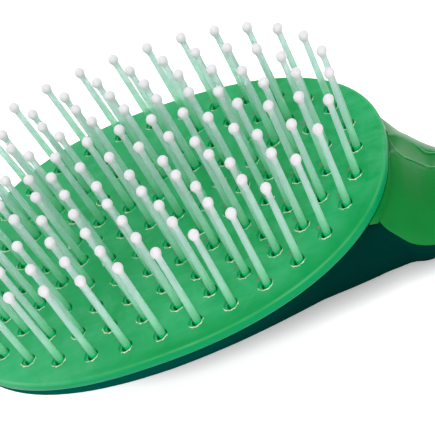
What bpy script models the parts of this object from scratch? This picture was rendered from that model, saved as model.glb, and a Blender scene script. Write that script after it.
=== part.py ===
"""Oval cushion brush for manes and tails.

A dark back shell carries a soft green cushion pad, whose lip sits on the shell's rim. Ball-ended
pins stand through round holes in the pad, on curved backing bars just below it. A green cover
closes the top of the handle.

Units are metres. The origin is the centre of the flat back under the head, +X runs along the
handle and +Z is the way the pins point.
"""

import math

import bmesh
import bpy
from mathutils import Matrix, Vector

# Head and pad
HEAD_LENGTH = 0.100          # length of the pad over its lip
HEAD_WIDTH = 0.0755          # width of the pad over its lip, before its taper
OVAL_POWER = 2.3             # 2 is an ellipse, more is squarer
OVAL_TAPER = 0.05            # how much narrower the handle end is than the tip end, as a share
HEAD_DEPTH = 0.024           # from the flat back to the top of the pad's edge
PAD_CROWN = 0.0010           # how much higher the middle of the pad is than its edge
PAD_THICKNESS = 0.0016       # the pad's membrane
LIP_HEIGHT = 0.0020          # the pad's outer edge
LIP_ROUND = 0.0005           # rounding of the lip's top edge
BEAD_THICKNESS = 0.0012      # the pad's low wall that sits inside the shell's rim
BEAD_HEIGHT = 0.0020         # how far that wall reaches below the lip
CLEARANCE = 0.0003           # gap between pieces that touch

# Back shell
RIM_INSET = 0.0008           # how far the shell's rim stays inside the pad's lip
RIM_WALL = 0.0016            # thickness of the shell at its rim
SHELL_WALL = 0.0018          # thickness of the shell elsewhere
RIM_BAND = 0.0020            # the upright band under the rim, before the flank slopes in
BAND_SLOPE = 0.0065          # how far that band's underside slopes in where the body narrows
BACK_INSET = 0.0255          # from the rim to the flat back, seen from above
FLANK_POWER = 1.15           # 1 is a straight flank, 2 a round one

# Handle, measured from the centre of the head
HANDLE_END = 0.165           # the far end of the handle
NECK_X = 0.062               # the narrowest place
NECK_WIDTH = 0.0234
NECK_TOP = 0.0125            # height of the neck's top over the back
GRIP_X = 0.112               # the widest place of the grip
GRIP_WIDTH = 0.0306
GRIP_TOP = 0.0192
PARTING_HEIGHT = 0.0062      # height of the joint between cover and shell along the handle
SHOULDER_LENGTH = 0.0052     # from the neck's top edge back to the pad
COVER_WALL = 0.0030          # thickness of the handle cover
COLLAR_INSET = 0.0002        # how far the cover's collar around the rim stays inside the lip
COLLAR_WALL = 0.0009         # thickness of that collar

# Thumb recess in the handle cover
RECESS_LENGTH = 0.046
RECESS_WIDTH = 0.0078
RECESS_DEPTH = 0.0013
RECESS_SIDE = 0.0052         # how far its middle line is beside the handle's
RECESS_GAP = 0.0022          # from the pad's lip to the recess
RECESS_LIFT = 0.00005        # how far the cutter's edges stay above the surface

# Pins
PIN_HEIGHT = 0.0194          # from the pad's top to the centre of the ball
PIN_RADIUS = 0.00072         # the shaft below the ball
PIN_FOOT_RADIUS = 0.00100    # the shaft where it leaves the pad
PIN_FLARE = 0.0035           # height over which the foot narrows
BALL_RADIUS = 0.00100
PIN_SIDES = 6
HOLE_RADIUS = 0.00150        # the round holes in the pad
HOLE_SIDES = 6
EDGE_MARGIN = 0.0059         # from the lip to the outermost ring of pins
RING_STEP = 0.0061           # from ring to ring
PIN_LEAN = 0.04              # how far all pins lean towards the handle, per unit of height
PIN_FAN = 0.13               # how far the pins at the two ends fan apart, per unit of height
# Each ring of pins from the outside in: how many pins, and where the first one stands, in steps
RINGS = ((32, 0.40), (28, 0.85), (22, 0.88), (18, 0.40), (13, 0.24))
CENTRE_PINS = 5              # pins in the straight middle row
CENTRE_GAP = 0.0070          # from the innermost ring's ends to that row's
CENTRE_SHIFT = -0.0015       # how far that row's middle is from the head's

# Backing bars under the pad
BAR_WIDTH = 0.0026
BAR_THICKNESS = 0.0012
PINS_PER_BAR = 4
BAR_END_GAP = 0.0012

OVAL_POINTS = 64
PAD_POINTS = 72
THINNEST = 0.0002            # keeps points of a tapering outline apart
EMBED = 0.0006               # how deep a joined shape reaches into its neighbour

PAD_TOP = HEAD_DEPTH
RIM_Z = PAD_TOP - LIP_HEIGHT - CLEARANCE
RIM_HALF_LENGTH = HEAD_LENGTH / 2 - RIM_INSET
TOP_MARGIN = 0.010           # how far cutters reach past what they cut


def clear_scene():
    for obj in list(bpy.data.objects):
        bpy.data.objects.remove(obj, do_unlink=True)


def new_collection(name):
    collection = bpy.data.collections.new(name)
    bpy.context.scene.collection.children.link(collection)
    return collection


def material(name, color, roughness, transmission=0.0):
    mat = bpy.data.materials.new(name)
    mat.use_nodes = True
    shader = mat.node_tree.nodes["Principled BSDF"]
    shader.inputs["Base Color"].default_value = (*color, 1.0)
    shader.inputs["Roughness"].default_value = roughness
    shader.inputs["Metallic"].default_value = 0.0
    shader.inputs["Transmission Weight"].default_value = transmission
    mat.diffuse_color = (*color, 1.0)
    return mat


def object_from_bmesh(name, bm, collection, mat=None):
    bmesh.ops.recalc_face_normals(bm, faces=bm.faces)
    mesh = bpy.data.meshes.new(name)
    bm.to_mesh(mesh)
    bm.free()
    obj = bpy.data.objects.new(name, mesh)
    collection.objects.link(obj)
    if mat:
        mesh.materials.append(mat)
    return obj


def as_cutter(obj):
    obj.hide_render = True
    obj.display_type = "WIRE"
    return obj


def boolean(obj, other, operation):
    mod = obj.modifiers.new(operation.title() + " " + other.name, "BOOLEAN")
    mod.operation = operation
    mod.object = other
    mod.solver = "EXACT"


def finish_round(obj):
    """Evaluates the modifiers into the mesh and shades it smooth, with sharp edges kept."""
    graph = bpy.context.evaluated_depsgraph_get()
    mesh = bpy.data.meshes.new_from_object(obj.evaluated_get(graph))
    obj.modifiers.clear()
    obj.data = mesh
    mesh.shade_smooth()
    mesh.set_sharp_from_angle(angle=math.radians(35))


def smooth(keys, x):
    """A smooth curve through (place, value) keys that never overshoots them."""
    if x <= keys[0][0]:
        return keys[0][1]
    if x >= keys[-1][0]:
        return keys[-1][1]
    slopes = [(b[1] - a[1]) / (b[0] - a[0]) for a, b in zip(keys, keys[1:])]
    tangents = [slopes[0]]
    for before, after in zip(slopes, slopes[1:]):
        flat = before * after <= 0
        tangents.append(0.0 if flat else 2 * before * after / (before + after))
    tangents.append(slopes[-1])
    i = max(k for k in range(len(keys) - 1) if keys[k][0] <= x)
    (x0, v0), (x1, v1) = keys[i], keys[i + 1]
    span = x1 - x0
    t = (x - x0) / span
    bend0 = tangents[i] * span
    bend1 = tangents[i + 1] * span
    return (
        v0 * (2 * t**3 - 3 * t**2 + 1)
        + bend0 * (t**3 - 2 * t**2 + t)
        + v1 * (3 * t**2 - 2 * t**3)
        + bend1 * (t**3 - t**2)
    )


def power(value, exponent):
    return math.copysign(abs(value) ** exponent, value)


def taper_at(x):
    return 1 - OVAL_TAPER * x / (HEAD_LENGTH / 2)


def oval_point(inset, angle):
    """A point of the head's outline, moved inwards by inset."""
    x = (HEAD_LENGTH / 2 - inset) * power(math.cos(angle), 2 / OVAL_POWER)
    y = (HEAD_WIDTH / 2 - inset) * power(math.sin(angle), 2 / OVAL_POWER)
    return x, y * taper_at(x)


def oval(inset, count=OVAL_POINTS):
    return [oval_point(inset, 2 * math.pi * i / count) for i in range(count)]


def oval_half_width(inset, x):
    """Half the width of that outline at one place along the head."""
    share = min(1.0, abs(x) / (HEAD_LENGTH / 2 - inset))
    half = (HEAD_WIDTH / 2 - inset) * (1 - share**OVAL_POWER) ** (1 / OVAL_POWER)
    return half * taper_at(x)


def rise_at(inset):
    """How far the pad's crown stands over its edge, at a distance in from that edge."""
    share = min(1.0, inset / (HEAD_WIDTH / 2))
    return PAD_CROWN * (1 - (1 - share) ** 2)


def loft(name, loops, collection, mat=None):
    """A closed body through equal loops of points, with a flat cap on each end."""
    bm = bmesh.new()
    rings = [[bm.verts.new(point) for point in loop] for loop in loops]
    for low, high in zip(rings, rings[1:]):
        for i in range(len(low)):
            k = (i + 1) % len(low)
            bm.faces.new((low[i], low[k], high[k], high[i]))
    bm.faces.new(rings[0])
    bm.faces.new(rings[-1])
    return object_from_bmesh(name, bm, collection, mat)


def oval_prism(name, levels, collection, mat=None, count=OVAL_POINTS):
    """A loft of the head's outline through (height, inset) levels."""
    loops = [[(x, y, z) for x, y in oval(inset, count)] for z, inset in levels]
    return loft(name, loops, collection, mat)


# The body's outer form, as curves along X that both the shell and the cover are made from

NECK_REACH = 0.0105                       # how far before the head's end the handle's sides start
NECK_START = HEAD_LENGTH / 2 - NECK_REACH
NECK_START_WIDTH = oval_half_width(RIM_INSET, NECK_START)
END_LENGTH = 0.012                        # the handle's round end
COVER_START = 0.75 * NECK_START + 0.25 * NECK_X   # where the cover's collar begins

WIDTH_KEYS = (
    (NECK_START, NECK_START_WIDTH),
    (0.84 * NECK_START + 0.16 * NECK_X, 0.735 * NECK_START_WIDTH + 0.09 * NECK_WIDTH),
    (0.70 * NECK_START + 0.30 * NECK_X, 0.46 * NECK_START_WIDTH + 0.235 * NECK_WIDTH),
    (0.50 * NECK_START + 0.50 * NECK_X, 0.245 * NECK_START_WIDTH + 0.39 * NECK_WIDTH),
    (NECK_X, NECK_WIDTH / 2),
    (GRIP_X, GRIP_WIDTH / 2),
    (HANDLE_END - END_LENGTH, 0.40 * GRIP_WIDTH),
)

TOP_KEYS = (
    (NECK_START, RIM_Z),
    (HEAD_LENGTH / 2, RIM_Z - 0.0006),
    (HEAD_LENGTH / 2 + 0.45 * SHOULDER_LENGTH, 0.55 * RIM_Z + 0.45 * NECK_TOP),
    (HEAD_LENGTH / 2 + SHOULDER_LENGTH, NECK_TOP + 0.0010),
    (NECK_X, NECK_TOP),
    (GRIP_X, GRIP_TOP),
    (HANDLE_END - END_LENGTH, 0.90 * GRIP_TOP),
)

PARTING_KEYS = (
    (NECK_START, RIM_Z),
    (0.67 * NECK_START + 0.33 * HEAD_LENGTH / 2, RIM_Z - THINNEST),
    (0.33 * NECK_START + 0.67 * HEAD_LENGTH / 2, 0.79 * RIM_Z + 0.21 * PARTING_HEIGHT),
    (HEAD_LENGTH / 2, 0.31 * RIM_Z + 0.69 * PARTING_HEIGHT),
    (0.67 * HEAD_LENGTH / 2 + 0.33 * NECK_X, 0.10 * RIM_Z + 0.90 * PARTING_HEIGHT),
    (NECK_X, PARTING_HEIGHT),
    (HANDLE_END, PARTING_HEIGHT + 0.0015),
)

ROUNDNESS_KEYS = (
    (0.30 * HEAD_LENGTH, FLANK_POWER),
    (0.40 * HEAD_LENGTH, 1.4),
    (0.50 * HEAD_LENGTH, 2.15),
    (NECK_X, 2.1),
)
TOP_ROUNDNESS = 1.75
FLAT_SHARE = 0.64            # how much of the flat back's width is left where the neck starts


def end_share(x):
    """1 along the handle, falling to 0 over its round end."""
    start = HANDLE_END - END_LENGTH
    if x <= start:
        return 1.0
    return math.sqrt(max(0.0, 1 - ((x - start) / END_LENGTH) ** 2))


def half_width_at(x):
    if x < NECK_START:
        return oval_half_width(RIM_INSET, x)
    return smooth(WIDTH_KEYS, x) * end_share(x)


def parting_at(x):
    return smooth(PARTING_KEYS, x)


def top_at(x):
    """The centre line of the body's top, which is the rim's height along the head."""
    middle = parting_at(x)
    return middle + (smooth(TOP_KEYS, x) - middle) * end_share(x)


def band_at(x):
    """The upright band under the rim, which fades out towards the neck."""
    return RIM_BAND * smooth(((0.0, 1.0), (NECK_START, 0.5), (NECK_X, 0.0)), x)


def bottom_at(x):
    """The centre line of the back from the middle of the head on: flat, then the round end."""
    return parting_at(x) * (1 - end_share(x))


def flat_half_width(x):
    """Half the width of the flat back, which fades out towards the neck."""
    flat = oval_half_width(RIM_INSET + BACK_INSET, 0.0)
    return max(THINNEST, flat * smooth(((0.0, 1.0), (NECK_START, FLAT_SHARE), (NECK_X, 0.0)), x))


def flank_curve(steps, roundness, first_angle=math.pi / 2):
    """Shares from the flat back (0, 1) to the rim band (1, 0): how far out, and how deep."""
    curve = []
    for i in range(steps + 1):
        angle = first_angle * (1 - i / steps)
        curve.append((power(math.cos(angle), 2 / roundness), power(math.sin(angle), 2 / roundness)))
    return curve


def dish_flank(x, steps):
    """Half of the head's outside below its rim band, at x before the middle of the head."""
    deepest = min(BACK_INSET, RIM_HALF_LENGTH + x - THINNEST / 4)
    innermost = 1 - deepest / BACK_INSET
    first_angle = math.acos(innermost ** (FLANK_POWER / 2))
    start = RIM_Z - RIM_BAND
    points = []
    for out, deep in flank_curve(steps, FLANK_POWER, first_angle):
        points.append((oval_half_width(RIM_INSET + BACK_INSET * (1 - out), x), start * (1 - deep)))
    return points


def surface_at(x, y):
    """Height of the body's top at a place beside its centre line."""
    share = min(1.0, abs(y) / half_width_at(x))
    middle = parting_at(x)
    return middle + (top_at(x) - middle) * (1 - share**TOP_ROUNDNESS) ** (1 / TOP_ROUNDNESS)


def handle_flank(x, wall, steps):
    """Half of the body's outside below its joint, at x from the middle of the head on."""
    half = max(half_width_at(x) - wall, 3 * THINNEST)
    start = parting_at(x) - max(band_at(x), THINNEST)
    low = min(bottom_at(x) + wall, start - THINNEST)
    flat = min(flat_half_width(x), 0.8 * half)
    roundness = smooth(ROUNDNESS_KEYS, x)
    points = []
    for out, deep in flank_curve(steps, roundness):
        points.append((flat + (half - flat) * out, start - (start - low) * deep))
    return points


def section(x, wall=0.0, steps=6):
    """The body's outline across the brush at x, moved inwards by wall."""
    right = dish_flank(x, steps) if x < 0 else handle_flank(x, wall, steps)
    half = max(half_width_at(x) - wall, 3 * THINNEST)
    middle = parting_at(x)
    high = max(top_at(x) - wall, middle + THINNEST / 4)
    for i in range(steps + 1):
        angle = math.pi / 2 * i / steps
        y = half * power(math.cos(angle), 2 / TOP_ROUNDNESS)
        z = middle + (high - middle) * power(math.sin(angle), 2 / TOP_ROUNDNESS)
        right.append((y if i < steps else 0.0, z))
    left = [(-y, z) for y, z in reversed(right[:-1])]
    return [(x, y, z) for y, z in right + left]


def stations(first, last, count):
    return [first + (last - first) * i / count for i in range(count + 1)]


def round_end_stations(count=5):
    """Places along the handle's round end, closer together towards its tip."""
    start = HANDLE_END - END_LENGTH
    nearly = 0.998
    return [start + nearly * END_LENGTH * math.sin(math.pi / 2 * i / count) for i in range(1, count + 1)]


def build_body_form(name, collection):
    """The whole outer body, head and handle together, up to the rim."""
    tip = -RIM_HALF_LENGTH
    places = [tip + THINNEST]
    places += [tip + BACK_INSET * (1 - math.cos(math.pi / 2 * i / 7)) for i in range(1, 8)]
    places += stations(tip + BACK_INSET, NECK_START, 8)[1:]
    places += stations(NECK_START, NECK_X, 8)[1:]
    places += stations(NECK_X, HANDLE_END - END_LENGTH, 8)[1:]
    places += round_end_stations()
    return loft(name, [section(x) for x in places], collection)


def build_rim_band(name, inset, collection):
    """The band under the pad's lip, which shows where the body's sides turn in to the neck."""
    low = RIM_Z - RIM_BAND
    levels = (
        (low - BAND_SLOPE, inset + 1.3 * BAND_SLOPE),
        (low - 0.3 * BAND_SLOPE, inset + 0.4 * BAND_SLOPE),
        (low, inset),
        (RIM_Z - THINNEST / 4, inset),
    )
    return as_cutter(oval_prism(name, levels, collection))


def build_upper_region(name, gap, inset, collection):
    """Everything above the joint between shell and cover, moved up and back from it by gap.

    It stays outside the head's outline at inset."""
    far = HANDLE_END + TOP_MARGIN
    side = HEAD_WIDTH
    ceiling = HEAD_DEPTH + TOP_MARGIN
    loops = []
    for place in stations(COVER_START, NECK_X, 9) + stations(NECK_X, far, 6)[1:]:
        x = place + gap
        floor = parting_at(place) + gap
        loops.append([(x, -side, floor), (x, side, floor), (x, side, ceiling), (x, -side, ceiling)])
    region = as_cutter(loft(name, loops, collection))
    levels = ((-TOP_MARGIN, inset), (HEAD_DEPTH + 2 * TOP_MARGIN, inset))
    boolean(region, as_cutter(oval_prism(name + "_head", levels, collection)), "DIFFERENCE")
    return region


def build_handle_cavity(name, wall, first, collection):
    """The hollow inside the handle, at a wall's distance from its outside."""
    last = HANDLE_END - wall - END_LENGTH / 2
    loops = [section(x, wall) for x in stations(first, last, 8)]
    return as_cutter(loft(name, loops, collection))


def build_head_cavity(collection):
    """The hollow under the pad, with the ledge that the pad's bead sits on."""
    inner_rim = RIM_INSET + RIM_WALL
    ledge_z = RIM_Z - BEAD_HEIGHT
    slant = math.sqrt(2) * SHELL_WALL
    start = RIM_Z - RIM_BAND
    levels = [(RIM_Z + TOP_MARGIN, inner_rim), (ledge_z, inner_rim)]
    for out, deep in reversed(flank_curve(6, FLANK_POWER)):
        z = start * (1 - deep)
        if SHELL_WALL < z <= ledge_z:
            levels.append((z, RIM_INSET + slant + BACK_INSET * (1 - out)))
    levels.append((SHELL_WALL, levels[-1][1] + levels[-1][0] - SHELL_WALL))
    return as_cutter(oval_prism("head_cavity", levels, collection))


def build_back_shell(parts, cutters, mat):
    shell = build_body_form("back_shell", parts)
    shell.data.materials.append(mat)
    boolean(shell, build_rim_band("rim_band", RIM_INSET + THINNEST, cutters), "UNION")
    behind_collar = COLLAR_INSET + COLLAR_WALL + CLEARANCE
    boolean(shell, build_upper_region("cover_region", 0.0, behind_collar, cutters), "DIFFERENCE")
    boolean(shell, build_head_cavity(cutters), "DIFFERENCE")
    hollow = build_handle_cavity("shell_hollow", SHELL_WALL, NECK_X, cutters)
    boolean(shell, hollow, "DIFFERENCE")
    finish_round(shell)
    return shell


def build_recess_cutter(collection):
    """A leaf-shaped dish that follows the handle's top, beside its middle line."""
    first = HEAD_LENGTH / 2 + RECESS_GAP
    middle = first + RECESS_LENGTH / 2
    loops = []
    across = 8
    for i in range(1, 16):
        share = -math.cos(math.pi * i / 16)
        x = middle + share * RECESS_LENGTH / 2
        narrowing = math.sqrt(1 - share**2)
        half = RECESS_WIDTH / 2 * math.sqrt(narrowing)
        points = []
        for k in range(across + 1):
            place = 2 * k / across - 1
            y = RECESS_SIDE + half * place
            depth = RECESS_DEPTH * narrowing * (1 - place**2) - RECESS_LIFT
            points.append((x, y, surface_at(x, y) - depth))
        ceiling = HEAD_DEPTH + TOP_MARGIN
        points += [(x, RECESS_SIDE + half, ceiling), (x, RECESS_SIDE - half, ceiling)]
        loops.append(points)
    return as_cutter(loft("thumb_recess", loops, collection))


def build_handle_cover(parts, cutters, mat):
    cover = build_body_form("handle_cover", parts)
    cover.data.materials.append(mat)
    boolean(cover, build_rim_band("collar_band", COLLAR_INSET, cutters), "UNION")
    region = build_upper_region("above_joint", CLEARANCE, COLLAR_INSET + COLLAR_WALL, cutters)
    boolean(cover, region, "INTERSECT")
    boolean(cover, build_recess_cutter(cutters), "DIFFERENCE")
    after_recess = HEAD_LENGTH / 2 + RECESS_GAP + RECESS_LENGTH + COVER_WALL
    boolean(cover, build_handle_cavity("cover_hollow", COVER_WALL, after_recess, cutters), "DIFFERENCE")
    finish_round(cover)
    return cover


def ring_path(inset, count=720):
    """A ring's outline on the pad as points, with the length along it up to each."""
    points = [Vector((*xy, PAD_TOP + rise_at(inset))) for xy in oval(inset, count)]
    points.append(points[0].copy())
    lengths = [0.0]
    for before, after in zip(points, points[1:]):
        lengths.append(lengths[-1] + (after - before).length)
    return points, lengths


def along(path, distance):
    """The point of a ring at a distance along it, and the direction there."""
    points, lengths = path
    distance %= lengths[-1]
    low, high = 0, len(points) - 1
    while high - low > 1:
        half = (low + high) // 2
        if lengths[half] <= distance:
            low = half
        else:
            high = half
    share = (distance - lengths[low]) / (lengths[high] - lengths[low])
    step = points[high] - points[low]
    return points[low] + step * share, step.normalized()


def pin_direction(foot):
    """How far a pin leans, per unit of height."""
    return Vector((PIN_LEAN + PIN_FAN * foot.x / (HEAD_LENGTH / 2), 0.0, 1.0))


def add_pin(bm, foot):
    """One pin with its ball. foot is where its centre line leaves the pad."""
    lean = pin_direction(foot)
    profile = [
        (-PAD_THICKNESS - CLEARANCE - EMBED, PIN_FOOT_RADIUS),
        (PIN_FLARE, PIN_RADIUS),
        (PIN_HEIGHT - 0.9 * BALL_RADIUS, 0.9 * PIN_RADIUS),
        (PIN_HEIGHT - 0.4 * BALL_RADIUS, 0.95 * BALL_RADIUS),
        (PIN_HEIGHT + 0.5 * BALL_RADIUS, 0.90 * BALL_RADIUS),
    ]
    rings = []
    for height, radius in profile:
        centre = foot + lean * height
        ring = []
        for i in range(PIN_SIDES):
            turn = 2 * math.pi * i / PIN_SIDES
            ring.append(bm.verts.new(centre + radius * Vector((math.cos(turn), math.sin(turn), 0.0))))
        rings.append(ring)
    for low, high in zip(rings, rings[1:]):
        for i in range(PIN_SIDES):
            k = (i + 1) % PIN_SIDES
            bm.faces.new((low[i], low[k], high[k], high[i]))
    bm.faces.new(list(reversed(rings[0])))
    top = bm.verts.new(foot + lean * (PIN_HEIGHT + BALL_RADIUS))
    for i in range(PIN_SIDES):
        bm.faces.new((rings[-1][i], rings[-1][(i + 1) % PIN_SIDES], top))


def build_bar(name, line, feet, parts, cutters, mat):
    """A backing bar under a line of (point on the pad, direction), joined with its pins."""
    loops = []
    for point, direction in line:
        side = Vector((-direction.y, direction.x, 0.0)) * (BAR_WIDTH / 2)
        top = point.z - PAD_THICKNESS - CLEARANCE
        low = top - BAR_THICKNESS
        loops.append([
            (*(point - side).xy, low),
            (*(point + side).xy, low),
            (*(point + side).xy, top),
            (*(point - side).xy, top),
        ])
    bar = loft(name, loops, parts, mat)
    bm = bmesh.new()
    for foot in feet:
        add_pin(bm, foot)
    pins = as_cutter(object_from_bmesh(name + "_pins", bm, cutters))
    boolean(bar, pins, "UNION")
    finish_round(bar)
    return bar


def ring_feet(path, count, phase):
    step = path[1][-1] / count
    return [(i + phase) * step for i in range(count)], step


def build_ring_bars(number, inset, count, phase, parts, cutters, mat):
    """One ring of pins, on bars that each carry a few of them. Returns the pins' feet."""
    path = ring_path(inset)
    places, step = ring_feet(path, count, phase)
    bars = round(count / PINS_PER_BAR)
    all_feet = []
    for b in range(bars):
        first = round(b * count / bars)
        last = round((b + 1) * count / bars) - 1
        start = places[first] - step / 2 + BAR_END_GAP / 2
        end = places[last] + step / 2 - BAR_END_GAP / 2
        line = [along(path, s) for s in stations(start, end, last - first + 2)]
        feet = [along(path, places[i])[0] for i in range(first, last + 1)]
        build_bar(f"pin_bar_{number}_{b + 1}", line, feet, parts, cutters, mat)
        all_feet += feet
    return all_feet


def build_centre_bar(number, parts, cutters, mat):
    innermost = EDGE_MARGIN + (len(RINGS) - 1) * RING_STEP
    half = HEAD_LENGTH / 2 - innermost - CENTRE_GAP
    step = 2 * half / (CENTRE_PINS - 1)
    height = PAD_TOP + rise_at(HEAD_WIDTH / 2)
    places = stations(CENTRE_SHIFT - half, CENTRE_SHIFT + half, CENTRE_PINS - 1)
    feet = [Vector((x, 0.0, height)) for x in places]
    reach = half + step / 2 - BAR_END_GAP / 2
    forward = Vector((1.0, 0.0, 0.0))
    line = [(Vector((CENTRE_SHIFT + x, 0.0, height)), forward) for x in (-reach, reach)]
    build_bar(f"pin_bar_{number}_1", line, feet, parts, cutters, mat)
    return feet


def build_pins(parts, cutters, mat):
    feet = []
    for k, (count, phase) in enumerate(RINGS):
        feet += build_ring_bars(k + 1, EDGE_MARGIN + k * RING_STEP, count, phase, parts, cutters, mat)
    feet += build_centre_bar(len(RINGS) + 1, parts, cutters, mat)
    return feet


def build_pad(feet, parts, cutters, mat):
    """The soft pad: a crowned membrane with a lip on the rim, a bead inside it and the pins' holes."""
    lip_bottom = PAD_TOP - LIP_HEIGHT
    bead_outside = RIM_INSET + RIM_WALL + CLEARANCE
    bead_inside = bead_outside + BEAD_THICKNESS
    shares = (0.80, 0.58, 0.38, 0.22, 0.12)
    insets = [share * HEAD_WIDTH / 2 for share in shares]
    levels = [(PAD_TOP + rise_at(inset), inset) for inset in insets]
    levels += [
        (PAD_TOP + rise_at(LIP_ROUND), LIP_ROUND),
        (PAD_TOP - 0.3 * LIP_ROUND, 0.3 * LIP_ROUND),
        (PAD_TOP - LIP_ROUND, 0.0),
        (lip_bottom + 0.5 * LIP_ROUND, 0.0),
        (lip_bottom, 0.5 * LIP_ROUND),
        (lip_bottom, bead_outside),
        (lip_bottom - BEAD_HEIGHT, bead_outside),
        (lip_bottom - BEAD_HEIGHT, bead_inside),
        (PAD_TOP + rise_at(bead_inside) - PAD_THICKNESS, bead_inside),
    ]
    levels += [(PAD_TOP + rise_at(inset) - PAD_THICKNESS, inset) for inset in reversed(insets[:-1])]
    pad = oval_prism("cushion_pad", levels, parts, mat, count=PAD_POINTS)
    bm = bmesh.new()
    for foot in feet:
        depth = 4 * PAD_THICKNESS
        place = Matrix.Translation(foot)
        bmesh.ops.create_cone(
            bm, cap_ends=True, segments=HOLE_SIDES,
            radius1=HOLE_RADIUS, radius2=HOLE_RADIUS, depth=depth, matrix=place,
        )
    holes = as_cutter(object_from_bmesh("pin_holes", bm, cutters))
    boolean(pad, holes, "DIFFERENCE")
    finish_round(pad)
    return pad


def main():
    clear_scene()
    parts = new_collection("mane_and_tail_brush")
    cutters = new_collection("cutters")
    dark = material("dark_teal_plastic", (0.004, 0.060, 0.055), 0.35)
    green = material("green_plastic", (0.010, 0.210, 0.045), 0.40)
    rubber = material("clear_green_rubber", (0.020, 0.380, 0.130), 0.45, transmission=0.2)
    nylon = material("white_nylon", (0.800, 0.840, 0.820), 0.35, transmission=0.2)
    build_back_shell(parts, cutters, dark)
    build_handle_cover(parts, cutters, green)
    feet = build_pins(parts, cutters, nylon)
    build_pad(feet, parts, cutters, rubber)


main()
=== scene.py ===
"""The looks of an oval cushion brush for manes and tails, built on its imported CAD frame.

Units are metres, in the part's own frame: +X runs along the handle and +Z is the way the pins
point. The driving sizes repeat those of the part's source, apart from the radii of the pins and
holes, which are a little closer to the real ones here.
"""

import math

import bmesh
import bpy
from mathutils import Matrix, Vector
from mathutils.bvhtree import BVHTree


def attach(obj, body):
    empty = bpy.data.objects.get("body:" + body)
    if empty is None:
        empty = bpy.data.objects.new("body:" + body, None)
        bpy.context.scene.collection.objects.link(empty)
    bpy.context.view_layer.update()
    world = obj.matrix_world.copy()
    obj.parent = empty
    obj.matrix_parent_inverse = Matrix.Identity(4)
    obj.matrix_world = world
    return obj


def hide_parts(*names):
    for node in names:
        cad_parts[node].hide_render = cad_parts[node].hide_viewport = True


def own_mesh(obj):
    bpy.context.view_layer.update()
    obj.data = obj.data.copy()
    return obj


# Head and pad
HEAD_LENGTH = 0.100
HEAD_WIDTH = 0.0755
OVAL_POWER = 2.3
OVAL_TAPER = 0.05
HEAD_DEPTH = 0.024
PAD_CROWN = 0.0010
CROWN_SHARES = (0.95, 0.80, 0.65, 0.50, 0.38, 0.28, 0.20, 0.13)    # insets over half the width
PAD_THICKNESS = 0.0016
LIP_HEIGHT = 0.0020
LIP_ROUND = 0.0006
BEAD_THICKNESS = 0.0012
BEAD_HEIGHT = 0.0020
CLEARANCE = 0.0003
SEAM = 0.0001                # the seam that shows between pieces that touch
BORDER_WIDTH = 0.0017        # from the pad's edge to the fine line that runs along it
BORDER_HEIGHT = 0.00005      # how far that line stands up
SIDE_DEPTHS = (0.0003, 0.0008)       # depths between which the rubber takes its side's green
# EDGE_ABOVE and EDGE_BELOW bound a painted highlight along the lip's rounded upper edge
EDGE_ABOVE = (-0.00004, 0.00002)     # depths between which its pale edge begins
EDGE_BELOW = (0.00030, 0.00010)      # and ends

# Back shell
RIM_INSET = 0.0008
RIM_WALL = 0.0016
SHELL_WALL = 0.0018
RIM_BAND = 0.0020
BAND_SLOPE = 0.0065
BACK_INSET = 0.0255
FLANK_POWER = 1.15

# Handle
HANDLE_END = 0.165
NECK_X = 0.062
NECK_WIDTH = 0.0234
NECK_TOP = 0.0125
GRIP_X = 0.112
GRIP_WIDTH = 0.0306
GRIP_TOP = 0.0192
PARTING_HEIGHT = 0.0062
SHOULDER_LENGTH = 0.0052
COLLAR_INSET = 0.0002
COLLAR_WALL = 0.0009
NECK_REACH = 0.0105
END_LENGTH = 0.012
END_REACH = 0.998 * END_LENGTH     # how far along it the last section is
TOP_ROUNDNESS = 1.75
FLAT_SHARE = 0.64

# Thumb recess
RECESS_LENGTH = 0.046
RECESS_WIDTH = 0.0078
RECESS_DEPTH = 0.0013
RECESS_SIDE = 0.0052
RECESS_GAP = 0.0022
RECESS_LIFT = 0.00005        # keeps the recess's outline off the handle's surface
RIDGE_RADIUS = 0.00014       # the fine line moulded along the recess's edge
CHANNEL_LENGTH = 0.0062      # the shallow channel that joins the recess to the pad
CHANNEL_DEPTH = 0.00080
COLLAR_SLANT = 0.0022        # length over which the cover's collar runs up to the pad
COLLAR_RAISE = 0.0017        # how far its lower edge rises over that length
NEAR_RUN_IN = (              # how the recess's edges start, from the pad's end and RECESS_SIDE
    (-0.0008, 0.0020),
    (0.0, -0.0010),
    (0.0007, -0.0025),
    (0.0016, -0.0034),
)
FAR_RUN_IN = ((0.0010, 0.0043), (0.0020, 0.0040))

# Pins, with the backing bars that they stand on
PIN_HEIGHT = 0.0194
PIN_RADIUS = 0.00067
PIN_FOOT_RADIUS = 0.00100
PIN_FLARE = 0.0035
PIN_SHADE = 0.00025          # height up to which the pins keep the colour of their backing
BALL_RADIUS = 0.00113
BALL_NECK = 0.0014           # height over which the shaft swells into the ball
EDGE_MARGIN = 0.0059
RING_STEP = 0.0061
PIN_LEAN = 0.04
PIN_FAN = 0.13
RINGS = ((32, 0.40), (28, 0.85), (22, 0.88), (18, 0.40), (13, 0.24))
CENTRE_PINS = 5
CENTRE_GAP = 0.0070
CENTRE_SHIFT = -0.0015
BAR_WIDTH = 0.0026
BAR_THICKNESS = 0.0012
PINS_PER_BAR = 4
BAR_END_GAP = 0.0012

# Holes in the pad
HOLE_RADIUS = 0.00155
HOLE_ROUND = 0.00012         # rounding of the holes' upper edge
HOLE_SHIFT = 0.00045         # how far the holes stand off the pins, as the pad sits askew
SHIFT_TURN = math.radians(-138)    # which way they do
HOLE_STEP = 0.00045          # how deep the holes are before they close in around the pins
STEP_RADIUS = 0.00125        # what is left open there
STEP_SHARE = 0.35            # the step's place, as a share of the way from pin to hole
LEVEL_ENOUGH = 0.98          # least Z of the normals that count as the pad's top
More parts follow.
